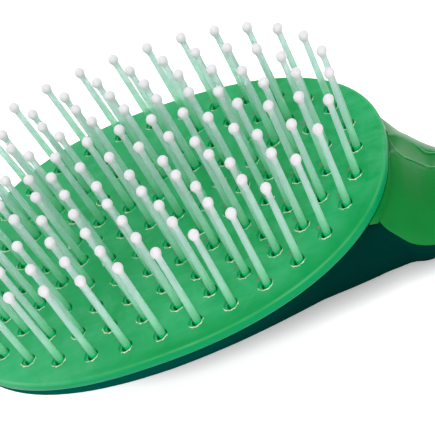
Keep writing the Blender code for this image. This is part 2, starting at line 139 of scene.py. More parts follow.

# The thin ragged flash that the moulding left on one side of each hole, whose cream colour is
# partly a painted highlight
FLASH_RADIUS = 0.00012
# FLASH_TURN puts each arc on the side of its hole where the painted highlight falls
FLASH_TURN = math.radians(-80)     # where the middle of its arc is
FLASH_STRAY = 0.25           # how far that middle strays, in radians
FLASH_SPAN = 1.25            # half of its arc, in radians
FLASH_VARY = 0.35            # how much that half varies
FLASH_RAGGED = 0.22          # how much its thickness varies

# The greyish spot painted on the pad beside each pin
SPOT_X = -0.00160            # its place, from the pin's foot
SPOT_Y = 0.00180
SPOT_SPREAD = 0.0002         # how far the spots stray from there
SPOT_RADIUS = 0.00070
SPOT_LIFT = 0.00002
SPOT_STRENGTH = 0.90
SPOT_VARY = 0.25             # the share of that strength that varies
SPOT_WOBBLE = 0.15           # how far their outline is from a circle
SPOT_RINGS = (               # share of its radius, share of its lift, share of its strength
    (1.0, -1.0, 0.0),
    (0.95, 0.5, 0.0),
    (0.6, 0.8, 0.6),
    (0.3, 1.0, 1.0),
)

# How finely the shapes are divided
TIP_STEPS = 16
HEAD_STEPS = 24
NECK_STEPS = 26
GRIP_STEPS = 24
END_STEPS = 10
FLANK_STEPS = 14
COLLAR_STEPS = 36
RECESS_STEPS = 48
RECESS_ACROSS = 24
RIDGE_STEPS = 46
RIDGE_SKIP = 6               # steps at the pad's end of the recess, where the run-ins take over
CHANNEL_STEPS = 24
CHANNEL_ACROSS = 16
BAR_STEPS = 12
PAD_STEPS = 240
LIP_STEPS = 5
HOLE_STEPS = 3
CAVITY_STEPS = 6
BALL_ANGLES = range(-35, 90, 15)     # degrees up the ball of a pin

# Places of the materials in their piece's list, after the first of them
RIDGE_SLOT = 1               # in the cover's list
WALL_SLOT = 1                # in the pad's
FLASH_HIGHLIGHT_SLOT = 2
SPOT_SLOT = 3
SHAFT_SLOT = 1               # in the pins'
BALL_NECK_SLOT = 2
BALL_SLOT = 3

# Places that follow from these, and margins
THINNEST = 0.0002
TOP_MARGIN = 0.010
PAD_TOP = HEAD_DEPTH
RIM_Z = PAD_TOP - LIP_HEIGHT - CLEARANCE
RIM_HALF_LENGTH = HEAD_LENGTH / 2 - RIM_INSET

# Camera: where it stands, where it looks and how far it is rolled
CAMERA_PLACE = (0.1628, -0.3150, 0.2907)
CAMERA_VIEW = (-0.34303, 0.71297, -0.61155)
CAMERA_UP = (0.29681, 0.69998, 0.64957)
CAMERA_LENS = 179.5          # millimetres, on a sensor as wide as CAMERA_SENSOR
CAMERA_SENSOR = 36.0

# Stage
FLOOR_HALF = 3.0
SHADOW_REACH = 0.0054        # how far from the object its darkest shadow goes
WORLD_LIGHT = 0.76           # what the world lights the object with, while it is seen as 1
LAMP_TARGET = (0.0, 0.0, 0.02)
LAMPS = (                    # name, place, size and watts
    ("key", (-0.30, 0.45, 1.05), 0.80, 2.2),
    ("fill", (0.45, -0.95, 0.60), 0.90, 4.6),
)

X_AXIS = Vector((1.0, 0.0, 0.0))
Y_AXIS = Vector((0.0, 1.0, 0.0))
Z_AXIS = Vector((0.0, 0.0, 1.0))


def smooth(keys, x):
    """A smooth curve through (place, value) keys that never overshoots them."""
    if x <= keys[0][0]:
        return keys[0][1]
    if x >= keys[-1][0]:
        return keys[-1][1]
    slopes = [(b[1] - a[1]) / (b[0] - a[0]) for a, b in zip(keys, keys[1:])]
    tangents = [slopes[0]]
    for before, after in zip(slopes, slopes[1:]):
        flat = before * after <= 0
        tangents.append(0.0 if flat else 2 * before * after / (before + after))
    tangents.append(slopes[-1])
    i = max(k for k in range(len(keys) - 1) if keys[k][0] <= x)
    (x0, v0), (x1, v1) = keys[i], keys[i + 1]
    span = x1 - x0
    t = (x - x0) / span
    bend0 = tangents[i] * span
    bend1 = tangents[i + 1] * span
    return (
        v0 * (2 * t**3 - 3 * t**2 + 1)
        + bend0 * (t**3 - 2 * t**2 + t)
        + v1 * (3 * t**2 - 2 * t**3)
        + bend1 * (t**3 - t**2)
    )


def power(value, exponent):
    """A power that keeps the sign of its base."""
    return math.copysign(abs(value) ** exponent, value)


def stations(first, last, count):
    """Evenly spaced values from first to last, in count steps."""
    return [first + (last - first) * i / count for i in range(count + 1)]


def turns(count):
    """Angles once round a circle."""
    return [2 * math.pi * i / count for i in range(count)]


def scatter(number, rates):
    """Values between -1 and 1 that differ from one number to the next, one for each rate."""
    return [math.sin(number * rate) for rate in rates]


# The head's outline

def taper_at(x):
    return 1 - OVAL_TAPER * x / (HEAD_LENGTH / 2)


def oval_point(inset, angle):
    x = (HEAD_LENGTH / 2 - inset) * power(math.cos(angle), 2 / OVAL_POWER)
    y = (HEAD_WIDTH / 2 - inset) * power(math.sin(angle), 2 / OVAL_POWER)
    return x, y * taper_at(x)


def oval(inset, count):
    return [oval_point(inset, turn) for turn in turns(count)]


def oval_half_width(inset, x):
    share = min(1.0, abs(x) / (HEAD_LENGTH / 2 - inset))
    half = (HEAD_WIDTH / 2 - inset) * (1 - share**OVAL_POWER) ** (1 / OVAL_POWER)
    return half * taper_at(x)


def rise_at(inset):
    """How far the pad's crown stands over its edge, at a distance in from that edge."""
    share = min(1.0, inset / (HEAD_WIDTH / 2))
    return PAD_CROWN * (1 - (1 - share) ** 2)


# The body's outer form along X

NECK_START = HEAD_LENGTH / 2 - NECK_REACH
NECK_START_WIDTH = oval_half_width(RIM_INSET, NECK_START)
COVER_START = 0.75 * NECK_START + 0.25 * NECK_X

WIDTH_KEYS = (
    (NECK_START, NECK_START_WIDTH),
    (0.84 * NECK_START + 0.16 * NECK_X, 0.735 * NECK_START_WIDTH + 0.09 * NECK_WIDTH),
    (0.70 * NECK_START + 0.30 * NECK_X, 0.46 * NECK_START_WIDTH + 0.235 * NECK_WIDTH),
    (0.50 * NECK_START + 0.50 * NECK_X, 0.245 * NECK_START_WIDTH + 0.39 * NECK_WIDTH),
    (NECK_X, NECK_WIDTH / 2),
    (GRIP_X, GRIP_WIDTH / 2),
    (HANDLE_END - END_LENGTH, 0.40 * GRIP_WIDTH),
)

TOP_KEYS = (
    (NECK_START, RIM_Z),
    (HEAD_LENGTH / 2, RIM_Z - 0.0006),
    (HEAD_LENGTH / 2 + 0.45 * SHOULDER_LENGTH, 0.55 * RIM_Z + 0.45 * NECK_TOP),
    (HEAD_LENGTH / 2 + SHOULDER_LENGTH, NECK_TOP + 0.0010),
    (NECK_X, NECK_TOP),
    (GRIP_X, GRIP_TOP),
    (HANDLE_END - END_LENGTH, 0.90 * GRIP_TOP),
)

PARTING_KEYS = (
    (NECK_START, RIM_Z),
    (0.67 * NECK_START + 0.33 * HEAD_LENGTH / 2, RIM_Z - THINNEST),
    (0.33 * NECK_START + 0.67 * HEAD_LENGTH / 2, 0.79 * RIM_Z + 0.21 * PARTING_HEIGHT),
    (HEAD_LENGTH / 2, 0.31 * RIM_Z + 0.69 * PARTING_HEIGHT),
    (0.67 * HEAD_LENGTH / 2 + 0.33 * NECK_X, 0.10 * RIM_Z + 0.90 * PARTING_HEIGHT),
    (NECK_X, PARTING_HEIGHT),
    (HANDLE_END, PARTING_HEIGHT + 0.0015),
)

ROUNDNESS_KEYS = (
    (0.30 * HEAD_LENGTH, FLANK_POWER),
    (0.40 * HEAD_LENGTH, 1.4),
    (0.50 * HEAD_LENGTH, 2.15),
    (NECK_X, 2.1),
)


def end_share(x):
    start = HANDLE_END - END_LENGTH
    if x <= start:
        return 1.0
    return math.sqrt(max(0.0, 1 - ((x - start) / END_LENGTH) ** 2))


def half_width_at(x):
    if x < NECK_START:
        return oval_half_width(RIM_INSET, x)
    return smooth(WIDTH_KEYS, x) * end_share(x)


def parting_at(x):
    return smooth(PARTING_KEYS, x)


def top_at(x):
    middle = parting_at(x)
    return middle + (smooth(TOP_KEYS, x) - middle) * end_share(x)


def band_at(x):
    return RIM_BAND * smooth(((0.0, 1.0), (NECK_START, 0.5), (NECK_X, 0.0)), x)


def bottom_at(x):
    return parting_at(x) * (1 - end_share(x))


def flat_half_width(x):
    flat = oval_half_width(RIM_INSET + BACK_INSET, 0.0)
    return max(THINNEST, flat * smooth(((0.0, 1.0), (NECK_START, FLAT_SHARE), (NECK_X, 0.0)), x))


def flank_curve(steps, roundness, first_angle=math.pi / 2):
    curve = []
    for i in range(steps + 1):
        angle = first_angle * (1 - i / steps)
        curve.append((power(math.cos(angle), 2 / roundness), power(math.sin(angle), 2 / roundness)))
    return curve


def dish_flank(x, steps):
    deepest = min(BACK_INSET, RIM_HALF_LENGTH + x - THINNEST / 4)
    innermost = 1 - deepest / BACK_INSET
    first_angle = math.acos(innermost ** (FLANK_POWER / 2))
    start = RIM_Z - RIM_BAND
    points = []
    for out, deep in flank_curve(steps, FLANK_POWER, first_angle):
        points.append((oval_half_width(RIM_INSET + BACK_INSET * (1 - out), x), start * (1 - deep)))
    return points


def surface_at(x, y):
    share = min(1.0, abs(y) / half_width_at(x))
    middle = parting_at(x)
    return middle + (top_at(x) - middle) * (1 - share**TOP_ROUNDNESS) ** (1 / TOP_ROUNDNESS)


def handle_flank(x, steps):
    half = max(half_width_at(x), 3 * THINNEST)
    start = parting_at(x) - max(band_at(x), THINNEST)
    low = min(bottom_at(x), start - THINNEST)
    flat = min(flat_half_width(x), 0.8 * half)
    roundness = smooth(ROUNDNESS_KEYS, x)
    points = []
    for out, deep in flank_curve(steps, roundness):
        points.append((flat + (half - flat) * out, start - (start - low) * deep))
    return points


def section(x, steps):
    right = dish_flank(x, steps) if x < 0 else handle_flank(x, steps)
    half = max(half_width_at(x), 3 * THINNEST)
    middle = parting_at(x)
    high = max(top_at(x), middle + THINNEST / 4)
    for i in range(steps + 1):
        angle = math.pi / 2 * i / steps
        y = half * power(math.cos(angle), 2 / TOP_ROUNDNESS)
        z = middle + (high - middle) * power(math.sin(angle), 2 / TOP_ROUNDNESS)
        right.append((y if i < steps else 0.0, z))
    left = [(-y, z) for y, z in reversed(right[:-1])]
    return [(x, y, z) for y, z in right + left]


# Mesh helpers

def object_from_bmesh(name, bm):
    bmesh.ops.recalc_face_normals(bm, faces=bm.faces)
    mesh = bpy.data.meshes.new(name)
    bm.to_mesh(mesh)
    bm.free()
    obj = bpy.data.objects.new(name, mesh)
    bpy.context.scene.collection.objects.link(obj)
    return obj


def ring_around(bm, centre, radius, sides, right=X_AXIS, up=Y_AXIS):
    """A circle of vertices in the plane of right and up."""
    return [
        bm.verts.new(centre + radius * (math.cos(turn) * right + math.sin(turn) * up))
        for turn in turns(sides)
    ]


def wall(bm, low, high):
    """The faces between two rings of vertices."""
    faces = []
    for i in range(len(low)):
        k = (i + 1) % len(low)
        faces.append(bm.faces.new((low[i], low[k], high[k], high[i])))
    return faces


def skin(bm, rings):
    """The faces between each ring and the next, and one over either end."""
    faces = []
    for low, high in zip(rings, rings[1:]):
        faces += wall(bm, low, high)
    return faces + [bm.faces.new(rings[0]), bm.faces.new(rings[-1])]


def loft(name, loops):
    bm = bmesh.new()
    skin(bm, [[bm.verts.new(point) for point in loop] for loop in loops])
    return object_from_bmesh(name, bm)


def oval_prism(name, levels, count=160):
    return loft(name, [[(x, y, z) for x, y in oval(inset, count)] for z, inset in levels])


def cut(obj, other, operation="DIFFERENCE"):
    """Combines obj with other for good, and deletes other."""
    mod = obj.modifiers.new("Cut", "BOOLEAN")
    mod.operation = operation
    mod.object = other
    mod.solver = "EXACT"
    graph = bpy.context.evaluated_depsgraph_get()
    mesh = bpy.data.meshes.new_from_object(obj.evaluated_get(graph))
    obj.modifiers.clear()
    obj.data = mesh
    bpy.data.objects.remove(other, do_unlink=True)


def dress(obj, mats):
    """Gives obj the materials mats and no others."""
    obj.data.materials.clear()
    for mat in mats:
        obj.data.materials.append(mat)


def finish_piece(piece, node, body):
    """Puts piece in the place of the CAD's node."""
    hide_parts(node)
    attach(piece, body)


def shade(obj, degrees=35):
    """Smooth shading, apart from edges sharper than degrees."""
    obj.data.shade_smooth()
    obj.data.set_sharp_from_angle(angle=math.radians(degrees))


# Node helpers

def start_material(name):
    mat = bpy.data.materials.new(name)
    mat.use_nodes = True
    tree = mat.node_tree
    return mat, tree, tree.nodes["Principled BSDF"]


def place_node(tree):
    return tree.nodes.new("ShaderNodeTexCoord").outputs["Object"]


def noise(tree, vector, scale, detail=2.0, roughness=0.5, distortion=0.0):
    node = tree.nodes.new("ShaderNodeTexNoise")
    node.inputs["Scale"].default_value = scale
    node.inputs["Detail"].default_value = detail
    node.inputs["Roughness"].default_value = roughness
    node.inputs["Distortion"].default_value = distortion
    tree.links.new(vector, node.inputs["Vector"])
    return node.outputs["Fac"]


def stretch(tree, vector, scale):
    node = tree.nodes.new("ShaderNodeMapping")
    node.inputs["Scale"].default_value = scale
    tree.links.new(vector, node.inputs["Vector"])
    return node.outputs["Vector"]


def remap(tree, value, low, high, to_low=0.0, to_high=1.0):
    node = tree.nodes.new("ShaderNodeMapRange")
    limits = {"From Min": low, "From Max": high, "To Min": to_low, "To Max": to_high}
    for name, number in limits.items():
        node.inputs[name].default_value = number
    tree.links.new(value, node.inputs["Value"])
    return node.outputs["Result"]


def math_node(tree, operation, first, second=None):
    node = tree.nodes.new("ShaderNodeMath")
    node.operation = operation
    for socket, value in zip(node.inputs, (first, second)):
        if value is None:
            continue
        if isinstance(value, (int, float)):
            socket.default_value = value
        else:
            tree.links.new(value, socket)
    return node.outputs["Value"]


def mix(tree, factor, first, second):
    """Colour first where factor is 0, second where it is 1."""
    node = tree.nodes.new("ShaderNodeMix")
    node.data_type = "RGBA"
    tree.links.new(factor, node.inputs[0])
    for socket, value in ((node.inputs[6], first), (node.inputs[7], second)):
        if isinstance(value, tuple):
            socket.default_value = (*value, 1.0)
        else:
            tree.links.new(value, socket)
    return node.outputs[2]


def times(tree, first, second):
    return math_node(tree, "MULTIPLY", first, second)


def bump(tree, height, strength, distance, shader):
    node = tree.nodes.new("ShaderNodeBump")
    node.inputs["Strength"].default_value = strength
    node.inputs["Distance"].default_value = distance
    tree.links.new(height, node.inputs["Height"])
    tree.links.new(node.outputs["Normal"], shader.inputs["Normal"])


def axis(tree, vector, name):
    node = tree.nodes.new("ShaderNodeSeparateXYZ")
    tree.links.new(vector, node.inputs["Vector"])
    return node.outputs[name]


# Materials

def rim_patch(tree, place):
    """1 along the pad's rim on the side of +X and -Y, where the rubber looks deeper, else 0."""
    x = math_node(tree, "DIVIDE", axis(tree, place, "X"), HEAD_LENGTH / 2)
    y = math_node(tree, "DIVIDE", axis(tree, place, "Y"), HEAD_WIDTH / 2)
    lengthways = math_node(tree, "POWER", math_node(tree, "ABSOLUTE", x), OVAL_POWER)
    across = math_node(tree, "POWER", math_node(tree, "ABSOLUTE", y), OVAL_POWER)
    rim = remap(tree, math_node(tree, "ADD", lengthways, across), 0.66, 0.90)
    toward = math_node(tree, "SUBTRACT", times(tree, x, 0.5), times(tree, y, 0.85))
    return times(tree, rim, remap(tree, toward, 0.62, 0.84))


def rubber_look(tree, shader, spotted=False):
    """Clear green rubber: cloudy inside, with another green at its side and a painted highlight
    along its upper edge.
    """
    deep = (0.0002, 0.345, 0.078)
    middle = (0.010, 0.430, 0.138)
    pale = (0.105, 0.550, 0.265)
    streaked = (0.15, 0.58, 0.30)
    near_rim = (0.0002, 0.330, 0.078)
    on_side = (0.001, 0.340, 0.125)
    highlight_on_edge = (0.320, 0.680, 0.420)
    greyish = (0.260, 0.300, 0.200)
    place = place_node(tree)
    height = axis(tree, place, "Z")
    clouds = remap(tree, noise(tree, place, 46, 4, 0.55, 0.8), 0.34, 0.66)
    patches = remap(tree, noise(tree, place, 170, 3, 0.6, 0.4), 0.38, 0.66)
    grain = noise(tree, stretch(tree, place, (60, 420, 420)), 1.0, 3, 0.6)
    streaks = remap(tree, grain, 0.45, 0.72)
    tip_end = remap(tree, axis(tree, place, "X"), HEAD_LENGTH / 2, -HEAD_LENGTH / 2)
    side, above, below = (
        remap(tree, height, PAD_TOP - first, PAD_TOP - last)
        for first, last in (SIDE_DEPTHS, EDGE_ABOVE, EDGE_BELOW)
    )
    # painted highlight: a pale band along the lip's rounded upper edge
    edge = times(tree, math_node(tree, "MINIMUM", above, below), 0.28)
    color = mix(tree, clouds, deep, middle)
    color = mix(tree, times(tree, patches, 0.40), color, pale)
    color = mix(tree, times(tree, tip_end, 0.36), color, pale)
    color = mix(tree, times(tree, streaks, 0.16), color, streaked)
    color = mix(tree, times(tree, rim_patch(tree, place), 0.85), color, near_rim)
    color = mix(tree, times(tree, side, 0.85), color, on_side)
    color = mix(tree, times(tree, edge, clouds), color, highlight_on_edge)
    if spotted:
        spot = tree.nodes.new("ShaderNodeAttribute")
        spot.attribute_name = "spot"
        color = mix(tree, spot.outputs["Fac"], color, greyish)
    tree.links.new(color, shader.inputs["Base Color"])
    tree.links.new(remap(tree, patches, 0, 1, 0.30, 0.46), shader.inputs["Roughness"])
    shader.inputs["Specular IOR Level"].default_value = 0.06
    shader.inputs["Subsurface Weight"].default_value = 0.20
    shader.inputs["Subsurface Radius"].default_value = (0.2, 1.0, 0.4)
    shader.inputs["Subsurface Scale"].default_value = 0.0015
    bump(tree, noise(tree, place, 700, 3), 0.10, 0.0002, shader)


def rubber_material():
    mat, tree, shader = start_material("clear_green_rubber")
    rubber_look(tree, shader)
    return mat


def spot_material():
    """The same rubber, with a greyish spot painted beside each pin."""
    mat, tree, shader = start_material("spotted_green_rubber")
    rubber_look(tree, shader, spotted=True)
    return mat


def hole_wall_material():
    """The wall of the pins' holes, in greens lighter than the rubber's: painted light that lifts
    the shade inside the holes.
    """
    mat, tree, shader = start_material("hole_wall_rubber")
    place = place_node(tree)
    wall_tone = remap(tree, noise(tree, place, 900, 2), 0.35, 0.60)
    # painted light: lighter than the rubber, though the holes' insides lie in shade
    color = mix(tree, wall_tone, (0.001, 0.540, 0.190), (0.003, 0.460, 0.160))
    tree.links.new(color, shader.inputs["Base Color"])
    shader.inputs["Roughness"].default_value = 0.5
    return mat


def flash_highlight_material():
    """The thin pale flash that the moulding left around each hole, its cream partly a painted
    highlight on the holes' near edges.
    """
    mat, tree, shader = start_material("pale_flash_and_highlight")
    place = place_node(tree)
    breaks = remap(tree, noise(tree, place, 800, 2, 0.6), 0.42, 0.54)
    # painted highlight: the cream stands in for light caught on the holes' rounded near edges
    color = mix(tree, breaks, (0.350, 0.680, 0.340), (0.930, 0.950, 0.720))
    tree.links.new(color, shader.inputs["Base Color"])
    shader.inputs["Roughness"].default_value = 0.3
    return mat


def shell_material():
    """Dark teal moulded plastic with a fine satin grain."""
    mat, tree, shader = start_material("dark_teal_plastic")
    place = place_node(tree)
    broad = remap(tree, noise(tree, place, 30, 3), 0.35, 0.65)
    grain = noise(tree, place, 2600, 2)
    color = mix(tree, broad, (0.0003, 0.020, 0.016), (0.0005, 0.034, 0.028))
    color = mix(tree, remap(tree, grain, 0.62, 0.8, 0, 0.4), color, (0.002, 0.070, 0.060))
    tip_end = remap(tree, axis(tree, place, "X"), 0.6 * HEAD_LENGTH / 2, -0.6 * HEAD_LENGTH / 2)
    color = mix(tree, times(tree, tip_end, 0.8), color, (0.0015, 0.135, 0.105))
    tree.links.new(color, shader.inputs["Base Color"])
    tree.links.new(remap(tree, broad, 0, 1, 0.30, 0.38), shader.inputs["Roughness"])
    shader.inputs["Specular IOR Level"].default_value = 0.0
    bump(tree, grain, 0.10, 0.0001, shader)
    return mat


def cover_material():
    """Green moulded plastic with a soft sheen."""
    mat, tree, shader = start_material("green_plastic")
    place = place_node(tree)
    broad = remap(tree, noise(tree, place, 36, 3, 0.5, 0.5), 0.35, 0.65)
    grain = noise(tree, place, 2200, 2)
    color = mix(tree, broad, (0.0003, 0.180, 0.021), (0.0012, 0.230, 0.036))
    tree.links.new(color, shader.inputs["Base Color"])
    tree.links.new(remap(tree, broad, 0, 1, 0.22, 0.30), shader.inputs["Roughness"])
    shader.inputs["Specular IOR Level"].default_value = 0.12
    shader.inputs["Sheen Weight"].default_value = 0.12
    shader.inputs["Sheen Roughness"].default_value = 0.35
    bump(tree, grain, 0.06, 0.0001, shader)
    return mat


def ridge_highlight_material():
    """The fine lines moulded on the cover, painted paler as a highlight along them."""
    mat, tree, shader = start_material("green_plastic_ridge_highlight")
    ridge_tone = remap(tree, noise(tree, place_node(tree), 300, 3), 0.35, 0.65)
    # painted highlight: greens paler than the cover's, for light caught along the raised lines
    color = mix(tree, ridge_tone, (0.010, 0.340, 0.090), (0.060, 0.470, 0.170))
    tree.links.new(color, shader.inputs["Base Color"])
    shader.inputs["Roughness"].default_value = 0.3
    return mat


def nylon_material(name, transmission):
    """Milky nylon of the pins, painted greener towards the pad for the pad's light that it carries.
    """
    mat, tree, shader = start_material(name)
    along = tree.nodes.new("ShaderNodeAttribute")
    along.attribute_name = "along"
    height = along.outputs["Fac"]
    haze = remap(tree, noise(tree, place_node(tree), 260, 2), 0.35, 0.65)
    color = mix(tree, haze, (0.63, 0.79, 0.75), (0.70, 0.85, 0.81))
    # painted light: green from the pad, strongest at the pins' feet
    green = math_node(tree, "POWER", remap(tree, height, 0.95 * PIN_HEIGHT, 0.0), 1.7)
    color = mix(tree, times(tree, green, 0.95), color, (0.43, 0.92, 0.67))
    foot = remap(tree, height, 0.25 * PIN_HEIGHT, 0.0)
    color = mix(tree, foot, color, (0.26, 0.80, 0.48))
    white = remap(tree, height, PIN_HEIGHT - 1.5 * BALL_NECK, PIN_HEIGHT - 0.5 * BALL_NECK)
    color = mix(tree, white, color, (0.80, 0.78, 0.80))
    tree.links.new(color, shader.inputs["Base Color"])
    tree.links.new(remap(tree, haze, 0, 1, 0.30, 0.40), shader.inputs["Roughness"])
    shader.inputs["Specular IOR Level"].default_value = 0.30
    shader.inputs["Transmission Weight"].default_value = transmission
    shader.inputs["IOR"].default_value = 1.05
    shader.inputs["Subsurface Weight"].default_value = 1.0
    shader.inputs["Subsurface Radius"].default_value = (1.0, 1.0, 1.0)
    shader.inputs["Subsurface Scale"].default_value = 0.0009
    return mat


def tip_material():
    """Opaque white of the ball tips, with a breath of lilac."""
    mat, tree, shader = start_material("white_tip")
    haze = remap(tree, noise(tree, place_node(tree), 900, 2), 0.35, 0.65)
    color = mix(tree, haze, (0.80, 0.77, 0.80), (0.85, 0.83, 0.86))
    tree.links.new(color, shader.inputs["Base Color"])
    tree.links.new(remap(tree, haze, 0, 1, 0.30, 0.40), shader.inputs["Roughness"])
    return mat


def backing_material():
    """The green backing under the pad, which the holes show a little of, painted a bright green as
    light that lifts their shade.
    """
    mat, tree, shader = start_material("green_backing")
    place = place_node(tree)
    spread = remap(tree, noise(tree, place, 200, 3), 0.35, 0.65)
    # painted light: brighter than the rubber, for the shade deep in the holes; the pins' feet below
    # PIN_SHADE take it too
    color = mix(tree, spread, (0.003, 0.740, 0.250), (0.008, 0.820, 0.300))
    tree.links.new(color, shader.inputs["Base Color"])
    shader.inputs["Roughness"].default_value = 0.5
    return mat


def beyond_surface(tree):
    """1 for rays that look past the object at the white surroundings, 0 for those that light it."""
    path = tree.nodes.new("ShaderNodeLightPath")
    seen = math_node(tree, "MAXIMUM", path.outputs["Is Camera Ray"], path.outputs["Is Glossy Ray"])
    return math_node(tree, "MAXIMUM", seen, path.outputs["Is Transmission Ray"])


def floor_material():
    """A white floor that keeps the object's soft shadow, with a painted shadow that darkens it
    right beside the object.
    """
    mat, tree, shader = start_material("white_floor")
    seen = beyond_surface(tree)
    spread = remap(tree, noise(tree, place_node(tree), 3, 2), 0.3, 0.7)
    lighting = mix(tree, spread, (0.82, 0.82, 0.82), (0.83, 0.83, 0.83))
    tree.links.new(mix(tree, seen, lighting, (1.0, 1.0, 1.0)), shader.inputs["Base Color"])
    shader.inputs["Roughness"].default_value = 0.9
    shader.inputs["Specular IOR Level"].default_value = 0.0
    # painted shadow: an ambient occlusion node dims the floor's emission near the object
    near = tree.nodes.new("ShaderNodeAmbientOcclusion")
    near.samples = 8
    near.inputs["Distance"].default_value = SHADOW_REACH
    glow_with_painted_shadow = remap(tree, near.outputs["AO"], 0.20, 0.80, 0.22, 0.66)
    shader.inputs["Emission Color"].default_value = (1, 1, 1, 1)
    tree.links.new(times(tree, seen, glow_with_painted_shadow), shader.inputs["Emission Strength"])
    return mat


# Body

def body_places():
    """Where the body's sections stand along X, closer together at its rounded ends."""
    tip = -RIM_HALF_LENGTH
    places = [tip + THINNEST]
    quarter = stations(0.0, math.pi / 2, TIP_STEPS)[1:]
    places += [tip + BACK_INSET * (1 - math.cos(turn)) for turn in quarter]
    places += stations(tip + BACK_INSET, NECK_START, HEAD_STEPS)[1:]
    places += stations(NECK_START, NECK_X, NECK_STEPS)[1:]
    start = HANDLE_END - END_LENGTH
    places += stations(NECK_X, start, GRIP_STEPS)[1:]
    quarter = stations(0.0, math.pi / 2, END_STEPS)[1:]
    places += [start + END_REACH * math.sin(turn) for turn in quarter]
    return places


def body_form(name):
    """The whole outer body, head and handle together."""
    return loft(name, [section(x, FLANK_STEPS) for x in body_places()])


def rim_band(inset):
    """The band under the pad's lip, which shows where the body's sides turn in to the neck."""
    low = RIM_Z - RIM_BAND
    levels = [
        (low - BAND_SLOPE, inset + 1.3 * BAND_SLOPE),
        (low - 0.3 * BAND_SLOPE, inset + 0.4 * BAND_SLOPE),
        (low - 0.1 * BAND_SLOPE, inset + 0.1 * BAND_SLOPE),
        (low, inset),
        (RIM_Z - THINNEST / 4, inset),
    ]
    return oval_prism("rim_band", levels)


def upper_region(gap, inset):
    """Everything above the joint between shell and cover, outside the head's outline at inset."""
    far = HANDLE_END + TOP_MARGIN
    side = HEAD_WIDTH
    ceiling = HEAD_DEPTH + TOP_MARGIN
    loops = []
    collar = stations(COVER_START, NECK_X, COLLAR_STEPS)
    for place in collar + stations(NECK_X, far, COLLAR_STEPS // 3)[1:]:
        x = place + gap
        slant = max(0.0, 1 - (place - COVER_START) / COLLAR_SLANT)
        floor = parting_at(place) + gap + COLLAR_RAISE * slant
        loops.append([(x, -side, floor), (x, side, floor), (x, side, ceiling), (x, -side, ceiling)])
    region = loft("region", loops)
    cut(region, oval_prism("head", ((-TOP_MARGIN, inset), (HEAD_DEPTH + 2 * TOP_MARGIN, inset))))
    return region


def head_cavity():
    """The hollow of the head, upright inside the rim and then sloping as the flank does."""
    inner_rim = RIM_INSET + RIM_WALL
    ledge_z = RIM_Z - BEAD_HEIGHT
    slant = math.sqrt(2) * SHELL_WALL
    start = RIM_Z - RIM_BAND
    levels = [(RIM_Z + TOP_MARGIN, inner_rim), (ledge_z, inner_rim)]
    for out, deep in reversed(flank_curve(CAVITY_STEPS, FLANK_POWER)):
        z = start * (1 - deep)
        if SHELL_WALL < z <= ledge_z:
            levels.append((z, RIM_INSET + slant + BACK_INSET * (1 - out)))
    levels.append((SHELL_WALL, levels[-1][1] + levels[-1][0] - SHELL_WALL))
    return oval_prism("cavity", levels)


def build_shell(mat):
    shell = body_form("shell_finish")
    cut(shell, rim_band(RIM_INSET + THINNEST), "UNION")
    cut(shell, upper_region(0.0, COLLAR_INSET + COLLAR_WALL + CLEARANCE))
    cut(shell, head_cavity())
    dress(shell, (mat,))
    shade(shell)
    return shell


def dish_loop(x, half, depth, across):
    """A section of a cutter that follows the handle's top, deepest in its middle."""
    points = []
    for place in stations(-1.0, 1.0, across):
        y = RECESS_SIDE + half * place
        points.append((x, y, surface_at(x, y) - (depth * (1 - place**2) - RECESS_LIFT)))
    ceiling = HEAD_DEPTH + TOP_MARGIN
    return points + [(x, RECESS_SIDE + half, ceiling), (x, RECESS_SIDE - half, ceiling)]


def recess_cutter():
    """A leaf-shaped dish in the handle's top, beside its middle line."""
    middle = HEAD_LENGTH / 2 + RECESS_GAP + RECESS_LENGTH / 2
    loops = []
    for turn in stations(0.0, math.pi, RECESS_STEPS)[1:-1]:
        share = -math.cos(turn)
        narrowing = math.sqrt(1 - share**2)
        half = RECESS_WIDTH / 2 * math.sqrt(narrowing)
        x = middle + share * RECESS_LENGTH / 2
        loops.append(dish_loop(x, half, RECESS_DEPTH * narrowing, RECESS_ACROSS))
    return loft("recess", loops)


def recess_edges():
    """The recess's two edges from the pad to its far end, as (x, y) points."""
    pad_end = HEAD_LENGTH / 2
    near = [(pad_end + x, RECESS_SIDE + y) for x, y in NEAR_RUN_IN]
    far = [(pad_end + x, RECESS_SIDE + y) for x, y in FAR_RUN_IN]
    for turn in stations(0.0, math.pi, RIDGE_STEPS)[RIDGE_SKIP:-1]:
        share = -math.cos(turn)
        x = pad_end + RECESS_GAP + (1 + share) * RECESS_LENGTH / 2
        half = RECESS_WIDTH / 2 * math.sqrt(math.sqrt(1 - share**2))
        near.append((x, RECESS_SIDE - half))
        far.append((x, RECESS_SIDE + half))
    return near, far


def channel_cutter():
    """The shallow channel between the pad and the recess."""
    first = HEAD_LENGTH / 2 - 0.5 * CHANNEL_LENGTH
    loops = []
    for share in stations(0.0, 1.0, CHANNEL_STEPS):
        fade = smooth(((0.0, 1.0), (0.5, 1.0), (1.0, 0.0)), share)
        x = first + 2 * CHANNEL_LENGTH * share
        loops.append(dish_loop(x, RECESS_WIDTH / 2, CHANNEL_DEPTH * fade, CHANNEL_ACROSS))
    return loft("channel", loops)


def add_ridge(bm, path, sides=8):
    """A fine raised line along path, half sunk into the surface."""
    points = [Vector((x, y, surface_at(x, y))) for x, y in path]
    last = len(points) - 1
    rings = []
    for i, point in enumerate(points):
        forward = (points[min(i + 1, last)] - points[max(i - 1, 0)]).normalized()
        side = forward.cross(Z_AXIS).normalized()
        radius = RIDGE_RADIUS * min(1.0, 0.2 + 0.4 * min(i, last - i))
        rings.append(ring_around(bm, point, radius, sides, side, side.cross(forward)))
    for face in skin(bm, rings):
        face.material_index = RIDGE_SLOT


